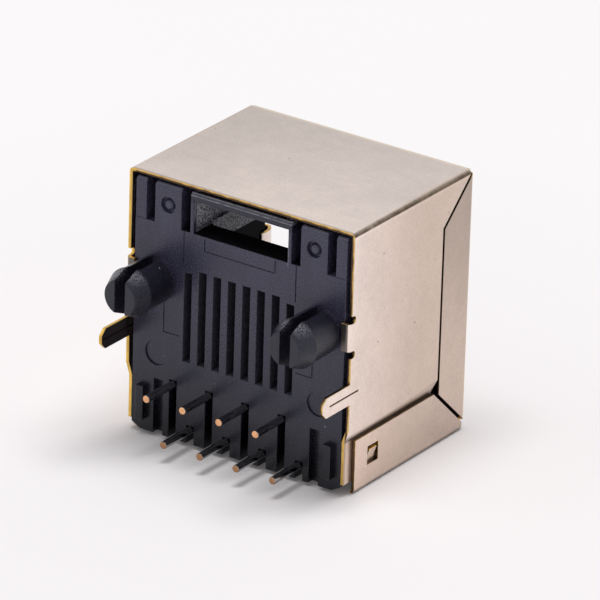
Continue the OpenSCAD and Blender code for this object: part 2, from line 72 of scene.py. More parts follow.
# Places in millimetres. Four numbers are a strip: its start, where it is full, where it
# fades and its end.

# Shield: the outside of a side panel, of the top and of the port plate
SIDE = 7.8
TOP, PORT = cad_box[1].z / MM, cad_box[1].y / MM
# Front edge of an ear and upper edge of a flap
EAR_FRONT, FLAP_TOP = 9.1, 3.4
# The mitres climb or drop this much for each millimetre back. Drawn on, they meet the board
# face at these heights.
MITRE_SLOPE = 0.93
EAR_MITRE, FLAP_MITRE = 5.12, 11.5
EDGE_BLUR, MITRE_BLUR = 0.04, 0.06
# Crease of a tab: its height, which is painted dark as shade, how its faces lean, where it ends
# and how deep it lies
CREASE_Z = (6.40, 6.46, 6.54, 6.60)
CREASE_LEAN = (0.3, 0.8)
CREASE_END, CREASE_FLOOR = 1.0, 7.6
# Lanced barb, whose top gets a painted highlight, and the seam round an ear, painted dark as
# shade in its gap
BARB_Y, BARB_Z = (2.1, 2.2, 3.1, 3.2), (2.26, 2.30, 2.60, 2.64)
SEAM_Y = (8.6, 8.7, 11.7, 11.8)
# A face is a cut edge where the metal behind it is deeper than this many sheets
CUT_DEPTH = 1.35

# Housing: latch channel behind the window, and the pegs' tips, which get a painted highlight
CHANNEL_X, CHANNEL_Y = (2.9, 3.05, 3.3, 3.4), (0.25, 0.35, 8.0, 9.0)
PEG_TIP_Y = (-3.55, -3.35, -2.9, -2.3)
# Painted highlight lines on the lintel's chamfer and on the window's right post
LINTEL_LINES = ((15.73, 15.76, 15.79, 15.82), (15.87, 15.90, 15.92, 15.95))
POST_X, POST_Z = (3.24, 3.27, 3.31, 3.34), (13.1, 13.4, 15.0, 15.4)
# Plug cavity and window sill: half width, then the reach in depth and height
CAVITY_HALF, CAVITY_Y, CAVITY_Z = 6.7, (0.6, 11.9), (3.0, 12.25)
SILL_HALF, SILL_Z = 4.0, (13.3, 13.6)

# Wire ends: the share of the wire's radius at the very end of a pin, then each step along it
# and the share there; for the spring, each step and how it narrows
PIN_END, PIN_TIP = 0.62, ((0.012, 0.80), (0.03, 0.94), (0.058, 1.0))
SPRING_TIP = ((0.05, 0.93), (0.03, 0.72))
# Faces this close to a pin's end are its cut end
PIN_FACE = 0.03

# Stage, in metres. The floor's own white starts to lift near the part and is full far from it.
FLOOR_SIDE = 4.0
FLOOR_NEAR, FLOOR_FAR = 0.016, 0.06
# How light the floor's faint clouds are
FLOOR_CLOUD = 0.985
# Light from all round, and the same in reflections
SKY_TINT, MIRROR_TINT = (1.0, 0.94, 0.962, 1.0), (0.985, 0.99, 1.0, 1.0)
KEY_PLACE, FILL_PLACE = (0.013, 0.023, 0.495), (-0.36, -0.29, 0.53)
LAMP_TARGET = (0, 0.006, 0)
# Camera: angles in degrees, the point it is fitted to, how far that lies to the right, above
# and ahead of the lens, and the sensor's width in millimetres
VIEW_AZIMUTH, VIEW_ELEVATION, VIEW_ROLL = 34.10, 24.09, 1.778
VIEW_TARGET = Vector((0.0, 0.006, 0.007))
VIEW_OFFSET = Vector((-0.000145, -0.001014, 0.41531))
SENSOR = 36.0


def length(name, description, default, low=0.0, high=0.1):
    """A size in metres, given in millimetres."""
    return FloatProperty(name=name, description=description, default=default * MM,
                         min=low, max=high, unit="LENGTH", precision=5)


def angle(name, description, default):
    """An angle, given in degrees."""
    return FloatProperty(name=name, description=description,
                         default=math.radians(default), subtype="ANGLE")


def colour(name, description, default):
    """A linear colour."""
    return FloatVectorProperty(name=name, description=description, default=default,
                               size=3, min=0.0, max=1.0, subtype="COLOR")


def share(name, description, default):
    """A number from none to all."""
    return FloatProperty(name=name, description=description, default=default,
                         min=0.0, max=1.0, subtype="FACTOR")


def power(name, description, default):
    """A lamp's power in watts."""
    return FloatProperty(name=name, description=description, default=default,
                         min=0.0, unit="POWER")


class JACK_PG_wires(bpy.types.PropertyGroup):
    """Course of the contact wires, the same as in the solids"""

    wire_d: length("Wire", "Diameter of the contact wire", 0.46)
    pin_len: length("Pin", "Length of a pin past the board face", 2.66)
    pin_pitch: length("Pin spacing", "Sideways spacing of the pins", 1.27)
    pitch: length("Contact spacing", "Spacing of the springs in the cavity", 1.016)
    row_z: length("Lower row", "Height of the lower pin row", 1.13)
    row_gap: length("Row gap", "Distance between the two pin rows", 2.54)
    bend_r: length("Bend", "Middle-line radius of every bend", 0.55)
    jog_y: length("Jog start", "Where the sideways jog starts", 0.9)
    turn_y: length("Turn", "Where the wire turns back at the mouth", 10.2)
    rise_back: length("Rise setback", "Straight wire between the rise and the turn", 0.4)
    spring_end: length("Spring end", "Distance of the free end from the board face", 0.95)
    jog_slope: angle("Jog slope", "Slope of the sideways jog", 12.5)
    rise_slope: angle("Rise slope", "Slope of the rise of a lower wire", 60)
    spring_slope: angle("Spring slope", "Slope of the contact springs", 26.5)
    sides: IntProperty(name="Sides", description="Facets round a wire", default=24, min=8)


class JACK_PG_edges(bpy.types.PropertyGroup):
    """Rounding of the edges that the solids leave sharp"""

    sheet: length("Sheet edge", "Rounding of the sheared sheet's edges", 0.03)
    moulding: length("Moulding edge", "Rounding of the moulding's edges", 0.05)
    least: length("Least width", "Faces narrower than this keep their edges sharp", 0.12)
    sheet_t: length("Sheet", "Thickness of the folded sheet", 0.22)


class JACK_PG_finish(bpy.types.PropertyGroup):
    """Colours and finishes"""

    nickel: colour("Nickel", "Plating on the sheet", (0.72, 0.625, 0.57))
    warmth: colour("Warmth", "Tint of the side panels towards the back", (1.0, 0.925, 0.86))
    # Rim and brow are painted highlights on the folds at the port end
    rim: colour("Rim", "Yellowed plating on the port-end folds", (0.86, 0.72, 0.46))
    brow_highlight: colour("Brow", "Paler plating on the top panel's back fold", (0.92, 0.79, 0.62))
    # Painted shade on the folds
    fold_shade: colour("Fold", "Stretched plating on the folds", (0.20, 0.155, 0.11))
    # Dark torn edges, and painted shade in the creases, along the folds, in the seams and on the
    # flaps' top edges
    tarnish_and_shade: colour("Tarnish", "Dark torn edges and creases", (0.10, 0.065, 0.04))
    brass: colour("Cut edge", "Bare brass on the sheared edges", (0.78, 0.50, 0.15))
    # Painted highlight on the cuts that face the light
    brass_highlight: colour("Bright cut edge", "Freshly cut brass", (0.96, 0.64, 0.12))
    brass_dull: colour("Dull cut edge", "Oxidised patches of the edges", (0.34, 0.19, 0.06))
    moulding: colour("Moulding", "Black moulded housing", (0.036, 0.035, 0.060))
    cavity: colour("Cavity", "Inside of the housing", (0.032, 0.033, 0.044))
    # Eroded grain, painted lighter in the latch channel, and the painted highlights on the pegs'
    # tips, the lintel and a post
    grain_and_highlight: colour("Eroded grain", "Lighter grain of a spark-eroded mould", (0.50, 0.50, 0.55))
    sheen: colour("Sheen", "Tint of the housing's reflections", (0.86, 0.89, 1.0))
    dust: colour("Dust", "Specks of dust on the housing", (0.42, 0.42, 0.44))
    wire: colour("Wire", "Gold-plated wire", (0.62, 0.45, 0.25))
    tin: colour("Tin", "Tinned wire of the board pins", (0.34, 0.335, 0.34))
    wire_dull: colour("Dull wire", "Duller patches of the wire", (0.42, 0.30, 0.17))
    wire_end: colour("Wire end", "Bare copper on the cut pin ends", (0.85, 0.47, 0.25))
    wire_end_dull: colour("Dull wire end", "Darker patches of the pin ends", (0.45, 0.18, 0.08))
    nickel_rough: share("Nickel roughness", "Roughness of the plating", 0.34)
    moulding_rough: share("Moulding roughness", "Roughness of the housing", 0.25)
    wire_rough: share("Wire roughness", "Roughness of the wire", 0.07)


class JACK_PG_stage(bpy.types.PropertyGroup):
    """Floor, light and camera"""

    floor: colour("Floor", "Pale floor", (0.978, 0.963, 0.969))
    lift: share("Floor lift", "Share of the floor that stays white in a shadow", 0.06)
    far_lift: share("Far lift", "Share of the floor that stays white away from the part", 0.75)
    sky: share("Sky", "Level of the light from all round", 0.29)
    mirrored: share("Mirrored sky", "Level of the sky in reflections", 0.84)
    key_power: power("Key", "Power of the soft lamp", 1.76)
    key_size: length("Key width", "Width of the soft lamp", 140, high=2.0)
    key_depth: length("Key depth", "Depth of the soft lamp, along the pins", 420, high=2.0)
    fill_power: power("Fill", "Power of the lamp on the left", 0.27)
    fill_size: length("Fill size", "Side of the lamp on the left", 300, high=2.0)
    lens: FloatProperty(name="Lens", description="Focal length in millimetres", default=432.8)


GROUPS = {
    "jack_wires": JACK_PG_wires,
    "jack_edges": JACK_PG_edges,
    "jack_finish": JACK_PG_finish,
    "jack_stage": JACK_PG_stage,
}


# Selecting and shaping

def only(piece):
    """Leaves just this object selected and active."""
    bpy.ops.object.select_all(action="DESELECT")
    piece.select_set(True)
    bpy.context.view_layer.objects.active = piece


def apply_place(piece):
    """Puts an object's place, turn and size into its mesh."""
    only(piece)
    bpy.ops.object.transform_apply(location=True, rotation=True, scale=True)


def settle(piece, slot, *nodes):
    """Brings a finished piece from millimetres to metres and hangs it on the body."""
    piece.scale = (MM, MM, MM)
    apply_place(piece)
    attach(piece, BODY)
    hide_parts(*nodes)


def merged_copy(node, name):
    """A copy of a CAD node in millimetres, with its loose triangles merged to whole faces."""
    piece = bpy.data.objects.new(name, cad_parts[node].data.copy())
    bpy.context.scene.collection.objects.link(piece)
    piece.data.name = name
    piece.data.materials.clear()
    piece.scale = (1 / MM, 1 / MM, 1 / MM)
    apply_place(piece)
    bpy.ops.mesh.customdata_custom_splitnormals_clear()
    bpy.ops.object.mode_set(mode="EDIT")
    bpy.ops.mesh.select_all(action="SELECT")
    bpy.ops.mesh.remove_doubles(threshold=0.001)
    bpy.ops.mesh.dissolve_limited(angle_limit=math.radians(0.5), use_dissolve_boundaries=False)
    bpy.ops.object.mode_set(mode="OBJECT")
    return piece


def smooth_groups(mesh, sharp):
    """Numbers the faces that run smoothly into each other, and gives each group's width."""
    group, widths = {}, []
    for first in mesh.faces:
        if first in group:
            continue
        group[first] = len(widths)
        area, rim, waiting = 0.0, 0.0, [first]
        while waiting:
            face = waiting.pop()
            area += face.calc_area()
            for edge in face.edges:
                if edge.calc_face_angle(math.pi) >= sharp:
                    rim += edge.calc_length()
                    continue
                for other in edge.link_faces:
                    if other not in group:
                        group[other] = len(widths)
                        waiting.append(other)
        widths.append(2 * area / max(rim, 1e-9))
    return group, widths


def round_edges(piece, width, least, sharp=math.radians(30), smooth=math.radians(50), keep=0.36):
    """Bevels the outward edges evenly along each seam, and leaves fine marks as they are."""
    only(piece)
    bpy.ops.object.mode_set(mode="EDIT")
    mesh = bmesh.from_edit_mesh(piece.data)
    weight = mesh.edges.layers.float.new("bevel_weight_edge")
    group, widths = smooth_groups(mesh, sharp)
    for edge in mesh.edges:
        if len(edge.link_faces) != 2 or not edge.is_convex or edge.calc_face_angle(0) < sharp:
            continue
        room = min(widths[group[face]] for face in edge.link_faces)
        if room > least:
            edge[weight] = min(1.0, keep * room / width)
    bmesh.update_edit_mesh(piece.data)
    bpy.ops.object.mode_set(mode="OBJECT")
    bevel = piece.modifiers.new("rounding", "BEVEL")
    bevel.limit_method = "WEIGHT"
    bevel.width = width
    bevel.segments = 2
    bevel.use_clamp_overlap = False
    bevel.miter_outer = "MITER_SHARP"
    bpy.ops.object.modifier_apply(modifier=bevel.name)
    bpy.ops.object.shade_smooth_by_angle(angle=smooth)
    level = piece.modifiers.new("flat_panels", "WEIGHTED_NORMAL")
    level.keep_sharp = True
    bpy.ops.object.modifier_apply(modifier=level.name)


def mark_cut_faces(piece, sheet_t, slot, skip=0.002):
    """Gives the faces across the sheet's thickness their own material slot."""
    mesh = bmesh.new()
    mesh.from_mesh(piece.data)
    tree = BVHTree.FromBMesh(mesh)
    largest = {}
    for loops in mesh.calc_loop_triangles():
        a, b, c = (loop.vert.co for loop in loops)
        area = (b - a).cross(c - a).length
        face = loops[0].face
        if area > largest.get(face, (0, None))[0]:
            largest[face] = (area, (a + b + c) / 3)
    found = False
    for face, (_, middle) in largest.items():
        inward = -face.normal
        # The leaning faces of a tab's crease are pressed, not cut
        leaning = CREASE_LEAN[0] < abs(inward.x) < CREASE_LEAN[1]
        if leaning and middle.y < CREASE_END and abs(middle.x) > CREASE_FLOOR:
            continue
        hit = tree.ray_cast(middle + inward * skip, inward)
        if hit[0] is None or hit[3] > sheet_t * CUT_DEPTH:
            face.material_index = slot
            found = True
    mesh.to_mesh(piece.data)
    mesh.free()
    if not found:
        raise RuntimeError("no cut faces were found on " + piece.name)


# Materials

class Finish:
    """A node material that is put together line by line."""

    # Most of a noise lies between these values
    NOISE_LOW, NOISE_HIGH = 0.3, 0.7

    def __init__(self, name):
        self.material = bpy.data.materials.new(name)
        self.material.use_nodes = True
        self.tree = self.material.node_tree
        self.shader = self.tree.nodes["Principled BSDF"]
        self.place = self.node("ShaderNodeTexCoord").outputs["Object"]

    def node(self, kind, **settings):
        made = self.tree.nodes.new(kind)
        for key, value in settings.items():
            setattr(made, key, value)
        return made

    def feed(self, socket, value):
        """Links an output to a socket, or sets the socket's own value."""
        if isinstance(value, bpy.types.NodeSocket):
            self.tree.links.new(value, socket)
        else:
            socket.default_value = value

    def set(self, name, value):
        """Feeds one of the shader's own sockets."""
        self.feed(self.shader.inputs[name], value)

    def axes(self):
        """The three Object coordinates."""
        made = self.node("ShaderNodeSeparateXYZ")
        self.feed(made.inputs[0], self.place)
        return made.outputs[0], made.outputs[1], made.outputs[2]

    def stretch(self, scale):
        """Object coordinates scaled apart along the three axes."""
        made = self.node("ShaderNodeMapping")
        self.feed(made.inputs["Vector"], self.place)
        made.inputs["Scale"].default_value = scale
        return made.outputs["Vector"]

    def noise(self, scale, detail=3.0, rough=0.6, vector=None):
        made = self.node("ShaderNodeTexNoise")
        self.feed(made.inputs["Vector"], vector or self.place)
        made.inputs["Scale"].default_value = scale
        made.inputs["Detail"].default_value = detail
        made.inputs["Roughness"].default_value = rough
        return made.outputs["Fac"]

    def drawn_noise(self, scale, detail=3.0, rough=0.6):
        """Noise with its own scale along each axis."""
        return self.noise(1.0, detail, rough, self.stretch(scale))

    def cells(self, scale):
        made = self.node("ShaderNodeTexVoronoi")
        self.feed(made.inputs["Vector"], self.place)
        made.inputs["Scale"].default_value = scale
        return made.outputs["Distance"]

    def maths(self, operation, a, b=0.0):
        made = self.node("ShaderNodeMath", operation=operation)
        self.feed(made.inputs[0], a)
        self.feed(made.inputs[1], b)
        return made.outputs[0]

    def product(self, *values):
        """All the values multiplied together."""
        total = values[0]
        for value in values[1:]:
            total = self.maths("MULTIPLY", total, value)
        return total

    def most(self, *values):
        """The largest of the values."""
        total = values[0]
        for value in values[1:]:
            total = self.maths("MAXIMUM", total, value)
        return total

    def apart(self, value):
        """Distance from the middle, on either side."""
        return self.maths("ABSOLUTE", value)

    def span(self, value, low, high, to_low=0.0, to_high=1.0, smooth=False):
        """Maps a range of values to another, held at its ends."""
        made = self.node("ShaderNodeMapRange",
                         interpolation_type="SMOOTHSTEP" if smooth else "LINEAR")
        self.feed(made.inputs["Value"], value)
        for key, number in (("From Min", low), ("From Max", high),
                            ("To Min", to_low), ("To Max", to_high)):
            made.inputs[key].default_value = number
        return made.outputs["Result"]

    def ramp(self, value, low, high, to_low=0.0, to_high=1.0):
        """A span between two places in millimetres."""
        return self.span(value, low * MM, high * MM, to_low, to_high)

    def strip(self, value, start, full, fade, end):
        """Rises from nothing to one, stays, and falls back, at places in millimetres."""
        return self.product(self.ramp(value, start, full), self.ramp(value, end, fade))

    def vary(self, low, high, *noises):
        """Spreads a noise, or several added together, over a range."""
        total = noises[0]
        for noise in noises[1:]:
            total = self.maths("ADD", total, noise)
        return self.span(total, self.NOISE_LOW * len(noises), self.NOISE_HIGH * len(noises),
                         low, high)

    def specks(self, scale, size, patch_scale, rarity, size_blur=0.03, patch_blur=0.04):
        """Small round specks that come in loose patches."""
        dots = self.span(self.cells(scale), size, size - size_blur)
        patches = self.noise(patch_scale, detail=1.0, rough=0.55)
        return self.product(dots, self.span(patches, rarity, rarity + patch_blur))

    def lighter(self, tone, mask, amount):
        """A tone raised by a share where the mask is."""
        return self.product(tone, self.maths("ADD", 1.0, self.product(mask, amount)))

    def darker(self, tone, mask, amount):
        """A tone lowered by a share where the mask is."""
        return self.product(tone, self.maths("SUBTRACT", 1.0, self.product(mask, amount)))

    def mix(self, a, b, factor, blend="MIX"):
        """Mixes two colours."""
        made = self.node("ShaderNodeMix", data_type="RGBA", blend_type=blend)
        self.feed(made.inputs["Factor"], factor)
        for socket, value in ((made.inputs[6], a), (made.inputs[7], b)):
            linked = isinstance(value, bpy.types.NodeSocket)
            self.feed(socket, value if linked else (*value, 1.0))
        return made.outputs[2]

    def shaded(self, colour, tone):
        """A colour made lighter or darker by a value."""
        grey = self.node("ShaderNodeCombineColor")
        for channel in grey.inputs:
            self.feed(channel, tone)
        return self.mix(colour, grey.outputs[0], 1.0, "MULTIPLY")

    def bump(self, height, depth, strength, under=None):
        """A surface raised by a height, with its depth in millimetres."""
        made = self.node("ShaderNodeBump")
        self.feed(made.inputs["Height"], height)
        made.inputs["Distance"].default_value = depth * MM
        made.inputs["Strength"].default_value = strength
        if under is not None:
            self.feed(made.inputs["Normal"], under)
        return made.outputs["Normal"]


def ears_and_flaps(made, y, z, on_side):
    """Masks of the two ears and of the two flaps, which end at the mitres."""
    slant = made.product(y, MITRE_SLOPE)
    over_mitre = made.maths("SUBTRACT", z, slant)
    under_mitre = made.maths("ADD", z, slant)
    ear = made.product(on_side, made.ramp(y, EAR_FRONT, EAR_FRONT + EDGE_BLUR),
                       made.ramp(over_mitre, EAR_MITRE, EAR_MITRE - MITRE_BLUR),
                       made.ramp(under_mitre, FLAP_MITRE, FLAP_MITRE + MITRE_BLUR))
    flap = made.product(on_side, made.ramp(z, FLAP_TOP, FLAP_TOP - EDGE_BLUR),
                        made.ramp(under_mitre, FLAP_MITRE, FLAP_MITRE - MITRE_BLUR))
    return ear, flap


def painted_sheet_light(made, axes, on_side, ear, flap):
    """How light the plating is painted on each panel of the sheet, standing for light and shade.
    """
    x, y, z = axes
    across = made.apart(x)
    # Painted light and shade: lighter towards the board face, on the top panel towards the right
    # and at the front of the sides, darker towards the port and on the top panel's left
    to_board = made.ramp(y, 0.0, 5.0, 1.12, 1.0)
    to_port = made.ramp(y, 5.0, PORT, 1.01, 0.92)
    top_left = made.most(made.ramp(x, -7.0, 0.0, 0.91, 1.0), made.ramp(z, 16.0, 15.5))
    tone = made.product(to_board, to_port, top_left)
    on_top = made.ramp(z, 15.9, 16.1)
    tone = made.lighter(tone, on_top, made.ramp(x, 0.0, 7.0, 0.065, 0.10))
    side_fade = made.ramp(y, 1.0, 6.0, 0.04, -0.04)
    tone = made.lighter(tone, on_side, side_fade)
    # The ears and the flaps catch less light than the panels
    ear_shade = made.ramp(z, 4.5, 14.0, 0.0, 0.28)
    tone = made.darker(tone, ear, ear_shade)
    flap_shade = made.product(made.ramp(y, 0.5, 10.0, 0.05, 0.11),
                              made.ramp(z, 1.6, 3.1, 1.0, 0.45))
    tone = made.darker(tone, flap, flap_shade)
    # Painted shadow in a band just above the top edge of each flap
    step = made.product(on_side, made.ramp(y, EAR_FRONT, EAR_FRONT - 0.1),
                        made.strip(z, FLAP_TOP - EDGE_BLUR, FLAP_TOP,
                                   FLAP_TOP + 0.10, FLAP_TOP + 0.45))
    tone = made.darker(tone, step, 0.62)
    # Painted highlight on the tabs' outer faces and painted shade inside them
    tab_highlight = made.product(on_side, made.ramp(y, 0.6, -0.2))
    tone = made.lighter(tone, tab_highlight, 0.10)
    tab_inside_shade = made.product(made.ramp(y, 0.2, -0.1),
                              made.ramp(across, SIDE - 0.14, SIDE - 0.18))
    tone = made.darker(tone, tab_inside_shade, 0.8)
    port_plate = made.product(made.ramp(across, 7.2, 6.9), made.ramp(z, 15.6, 15.2))
    return made.lighter(tone, port_plate, 0.2)


def fold_shade_and_highlights(made, finish, axes, on_side, plated, patchy):
    """The plating with painted shade on its folds and painted highlights on the folds at the
    port.
    """
    x, y, z = axes
    at_corner = made.ramp(made.apart(x), SIDE - 0.30, SIDE - 0.24)
    upper = made.product(at_corner,
                         made.strip(z, TOP - 0.27, TOP - 0.22, TOP - 0.05, TOP - 0.005))
    under = made.product(at_corner, made.ramp(z, 0.30, 0.12))
    # Painted shade along the folds at the top and at the bottom
    plated = made.mix(plated, finish.fold_shade, made.product(patchy, made.most(upper, under)))
    # Painted highlights on the folds at the port end
    port_fold_highlight = made.product(on_side, made.ramp(y, PORT - 0.30, PORT - 0.12))
    plated = made.mix(plated, finish.rim, made.product(port_fold_highlight, 0.8))
    brow_highlight = made.product(made.ramp(z, TOP - 0.30, TOP - 0.2),
                        made.ramp(y, PORT - 0.55, PORT - 0.22))
    return made.mix(plated, finish.brow_highlight, made.product(brow_highlight, 0.85))


def shade_lines_and_specks(made, axes, on_side, patchy):
    """Painted shade under the upper folds and along the crease of a tab, and a few dark specks.
    """
    x, y, z = axes
    fold_shade_line = made.product(on_side, made.ramp(y, PORT - 0.3, PORT - 0.4),
                             made.strip(z, TOP - 0.25, TOP - 0.21, TOP - 0.13, TOP - 0.06))
    crease = made.product(on_side, made.strip(z, *CREASE_Z), made.ramp(y, 0.88, 0.80),
                          made.ramp(made.apart(x), SIDE - 0.012, SIDE - 0.03))
    specks = made.specks(scale=700.0, size=0.06, patch_scale=500.0, rarity=0.58)
    return made.most(crease, made.product(fold_shade_line, patchy, 0.9), made.product(specks, 0.6))


def nickel_finish(finish):
    """Satin nickel: mottled plating, fine rolled grain, painted light and shade on the panels,
    ears and flaps, painted shade on the folds and painted highlights on the folds at the port.
    """
    made = Finish("satin_nickel")
    axes = made.axes()
    x, y, z = axes
    on_side = made.ramp(made.apart(x), SIDE - 0.32, SIDE - 0.28)
    ear, flap = ears_and_flaps(made, y, z, on_side)
    mottle = made.noise(scale=240.0, detail=5.0, rough=0.62)
    cloud = made.noise(scale=1300.0)
    grain = made.noise(scale=8000.0, detail=2.0)
    rolled = made.drawn_noise(scale=(500.0, 9000.0, 9000.0))
    tone = made.product(made.vary(0.93, 1.05, mottle), made.vary(0.97, 1.025, cloud),
                        made.vary(0.975, 1.02, rolled),
                        made.span(grain, 0.25, 0.75, 0.91, 1.075),
                        painted_sheet_light(made, axes, on_side, ear, flap))
    plated = made.shaded(finish.nickel, tone)
    warm = made.most(made.product(on_side, made.ramp(y, 0.5, 7.0, 0.2, 1.0)), flap)
    plated = made.mix(plated, made.mix(plated, finish.warmth, 1.0, "MULTIPLY"), warm)
    # Patches that break up the painted shade on the folds
    patchy = made.vary(0.55, 1.0, made.noise(scale=1500.0))
    plated = fold_shade_and_highlights(made, finish, axes, on_side, plated, patchy)
    dark = shade_lines_and_specks(made, axes, on_side, patchy)
    made.set("Base Color", made.mix(plated, finish.tarnish_and_shade, dark))
    made.set("Metallic", 1.0)
    made.set("Roughness", made.vary(finish.nickel_rough - 0.05, finish.nickel_rough + 0.06,
                                    mottle, grain))
    height = made.maths("ADD", made.product(grain, 0.5), rolled)
    made.set("Normal", made.bump(height, depth=0.012, strength=0.5))
    return made.material


def skin_depth(made, x, z):
    """How far a point lies behind the nearest outside face of the shield."""
    from_side = made.maths("SUBTRACT", SIDE * MM, made.apart(x))
    from_top = made.maths("SUBTRACT", TOP * MM, z)
    return made.maths("MINIMUM", from_side, from_top)


def brass_finish(finish):
    """Sheared edge: a gold line of bare brass under the plating, then a dark torn part, with
    painted shade on the flaps' top edges and in the ear seams and painted highlights on the
    bright cuts.
    """
    made = Finish("sheared_brass")
    x, y, z = made.axes()
    tear = made.drawn_noise(scale=(9000.0, 9000.0, 2500.0), detail=2.0)
    patch = made.noise(scale=1400.0)
    wander = made.vary(-0.035 * MM, 0.035 * MM, patch)
    depth = made.maths("ADD", skin_depth(made, x, z), wander)
    torn = made.strip(depth, 0.075, 0.11, 0.235, 0.255)
    # Painted shade on the flaps' top cut edges
    flap = made.product(made.ramp(z, FLAP_TOP + 0.1, FLAP_TOP - 0.1),
                        made.ramp(depth, 0.02, 0.06, 0.45, 0.95),
                        made.ramp(depth, 0.25, 0.23))
    # Painted shade in the seam round an ear
    seam_shade = made.product(made.strip(y, *SEAM_Y), made.ramp(made.apart(x), 7.35, 7.4), 0.97)
    # Painted highlights on the cuts: the left rim, which faces the light, and the top of a barb
    left = made.product(made.ramp(x, -7.3, -7.4), 0.7)
    barb = made.product(made.strip(y, *BARB_Y), made.strip(z, *BARB_Z))
    cut_highlight = made.most(left, barb)
    torn = made.most(made.darker(made.most(torn, flap), cut_highlight, 1.0), seam_shade)
    gold = made.mix(finish.brass, finish.brass_dull, made.span(patch, 0.4, 0.75, 0.0, 0.8))
    gold = made.mix(gold, finish.brass_highlight, made.product(cut_highlight, 0.8))
    gold = made.mix(gold, finish.nickel, made.span(tear, 0.6, 0.75, 0.0, 0.4))
    made.set("Base Color", made.mix(gold, finish.tarnish_and_shade, torn))
    made.set("Metallic", 1.0)
    made.set("Roughness", made.vary(0.28, 0.5, tear))
    made.set("Normal", made.bump(tear, depth=0.02, strength=0.5))
    return made.material


def painted_highlight_lines(made, axes):
    """Painted highlight lines along the lintel's chamfer and the window's right post."""
    x, y, z = axes
    upper, lower = (made.strip(z, *line) for line in LINTEL_LINES)
    lintel = made.product(made.maths("ADD", upper, lower), made.ramp(made.apart(x), 4.0, 3.9),
                          made.ramp(y, 0.5, 0.45))
    post = made.product(made.strip(x, *POST_X), made.ramp(y, 0.12, 0.08),
                        made.strip(z, *POST_Z))
    broken = made.span(made.noise(scale=2600.0, detail=2.0, rough=0.55), 0.35, 0.6, 0.35, 1.0)
    return made.product(made.most(lintel, post), broken)


def moulding_finish(finish):
    """Black moulding: fine satin skin, eroded grain in the channel and on the pegs, painted
    lighter in the channel, painted shade towards the foot and painted light towards the top,
    painted highlights on the pegs' tips, the lintel and a post, dust.
    """
    made = Finish("black_moulding")
    axes = made.axes()
    x, y, z = axes
    across = made.apart(x)
    skin = made.noise(scale=11000.0, rough=0.65)
    flow = made.drawn_noise(scale=(700.0, 700.0, 220.0), rough=0.55)
    spark = made.noise(scale=8200.0, detail=2.0)
    channel = made.product(made.strip(y, *CHANNEL_Y), made.ramp(z, 12.2, 12.3),
                           made.strip(across, *CHANNEL_X))
    pegs = made.ramp(y, -0.4, -0.5)
    lintel = made.most(made.ramp(z, 15.45, 15.2, 0.4, 1.0), made.ramp(across, 3.9, 4.1))
    # Painted shade towards the foot and painted light towards the top
    foot_shade = made.ramp(z, 1.5, 8.0, 0.10, 1.0)
    top_light = made.ramp(z, 9.0, 14.0, 1.0, 1.3)
    to_pegs = made.ramp(y, -0.5, 0.0, 0.3, 1.0)
    tone = made.product(made.span(flow, 0.3, 0.75, 0.85, 1.2), made.vary(0.35, 1.75, skin),
                        foot_shade, top_light, lintel, to_pegs)
    skinned = made.shaded(finish.moulding, tone)
    # Eroded grain in the latch channel, painted lighter to stand for the light that reaches it
    grains = made.span(spark, 0.45, 0.56)
    skinned = made.mix(skinned, finish.grain_and_highlight, made.product(channel, grains))
    # Painted highlight on the upper side of the pegs' tips, as a fine grain
    fine_grains = made.span(made.noise(scale=13000.0, detail=2.0), 0.44, 0.6)
    tip_highlight = made.product(made.strip(y, *PEG_TIP_Y), made.ramp(z, 10.8, 11.3), fine_grains)
    skinned = made.mix(skinned, finish.grain_and_highlight, made.product(tip_highlight, 0.38))
    # Painted highlight lines on the lintel and the window's right post
    skinned = made.mix(skinned, finish.grain_and_highlight, made.product(painted_highlight_lines(made, axes), 0.5))
    specks = made.specks(scale=1500.0, size=0.075, patch_scale=900.0, rarity=0.62)
    made.set("Base Color", made.mix(skinned, finish.dust, specks))
    made.set("Specular Tint", (*finish.sheen, 1.0))
    rough = made.vary(finish.moulding_rough - 0.05, finish.moulding_rough + 0.07, skin, flow)
    rough = made.maths("ADD", rough, made.product(channel, 0.15))
    made.set("Roughness", made.maths("SUBTRACT", rough, made.product(pegs, 0.04)))
    fine = made.bump(skin, depth=0.02, strength=0.5)
    pitted = made.maths("ADD", made.product(spark, channel), made.product(skin, pegs, 0.35))
    made.set("Normal", made.bump(pitted, depth=0.08, strength=0.8, under=fine))
    return made.material


def cavity_finish(finish):
    """Dark satin inside of the housing."""
    made = Finish("black_cavity")
    _, y, z = made.axes()
    skin = made.noise(scale=6000.0)
    to_board = made.ramp(y, 1.2, 4.0, 5.0, 1.0)
    over_channel = made.ramp(z, 12.4, 12.6, 1.0, 0.12)
    tone = made.product(made.vary(0.18, 0.4, skin), to_board, over_channel)
    made.set("Base Color", made.shaded(finish.cavity, tone))
    made.set("Roughness", made.vary(0.42, 0.55, skin))
    made.set("Specular IOR Level", 0.015)
    made.set("Normal", made.bump(skin, depth=0.01, strength=0.4))
    return made.material


def wire_finish(finish):
    """Drawn wire with faint lines: tinned board pins, gold-plated springs."""
    made = Finish("plated_wire")
    _, _, z = made.axes()
    drawn = made.drawn_noise(scale=(12000.0, 600.0, 12000.0), detail=2.0, rough=0.5)
    patch = made.noise(scale=1200.0)
    gold = made.mix(finish.wire, finish.wire_dull, made.span(patch, 0.45, 0.75))
    tinned = made.shaded(finish.tin, made.vary(0.8, 1.15, patch))
    made.set("Base Color", made.mix(tinned, gold, made.ramp(z, 4.3, 4.7)))
    made.set("Metallic", 1.0)
    made.set("Roughness", made.vary(finish.wire_rough - 0.02, finish.wire_rough + 0.03, drawn))
    made.set("Normal", made.bump(drawn, depth=0.004, strength=0.25))
    return made.material


